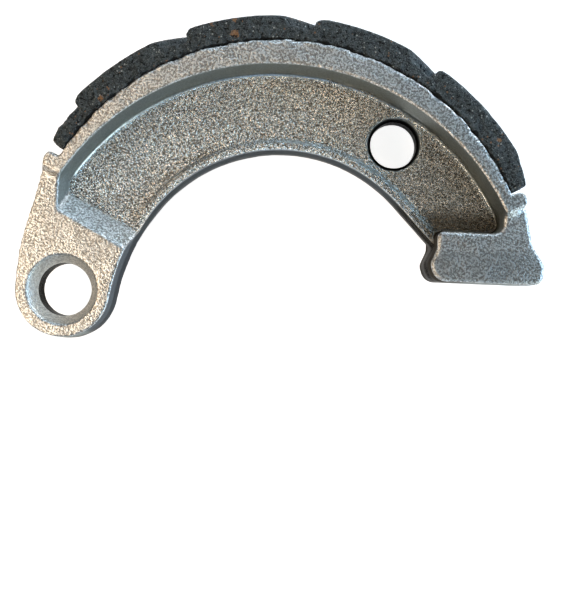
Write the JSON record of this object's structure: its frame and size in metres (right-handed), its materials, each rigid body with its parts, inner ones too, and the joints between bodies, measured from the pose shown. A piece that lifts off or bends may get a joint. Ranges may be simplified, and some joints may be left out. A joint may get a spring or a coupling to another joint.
{
  "type": "brake shoe",
  "caption": "Cast aluminium drum brake shoe: arc-shaped rim and web, half-width pivot eye at one end, flat cam pad at the other, bonded lining with slanted grooves.",
  "frame": {"origin": "on the axis of the pivot bore, in the lap face of the eye, which is the middle of the shoe's width", "axes": "+X from the pivot to the cam pad along the line through the drum's centre, +Y outwards to the lining, +Z along the drum's axis towards the countersunk face of the eye"},
  "size_m": [0.0848, 0.053, 0.018],
  "materials": {
    "cast_aluminium": "shot-blasted die casting, fine grain, matte",
    "friction_compound": "dark moulded friction compound with copper-coloured and light flecks, matte"
  },
  "bodies": {
    "root": {"cast_shoe": "cast_aluminium", "friction_lining": "friction_compound"}
  },
  "joints": []
}
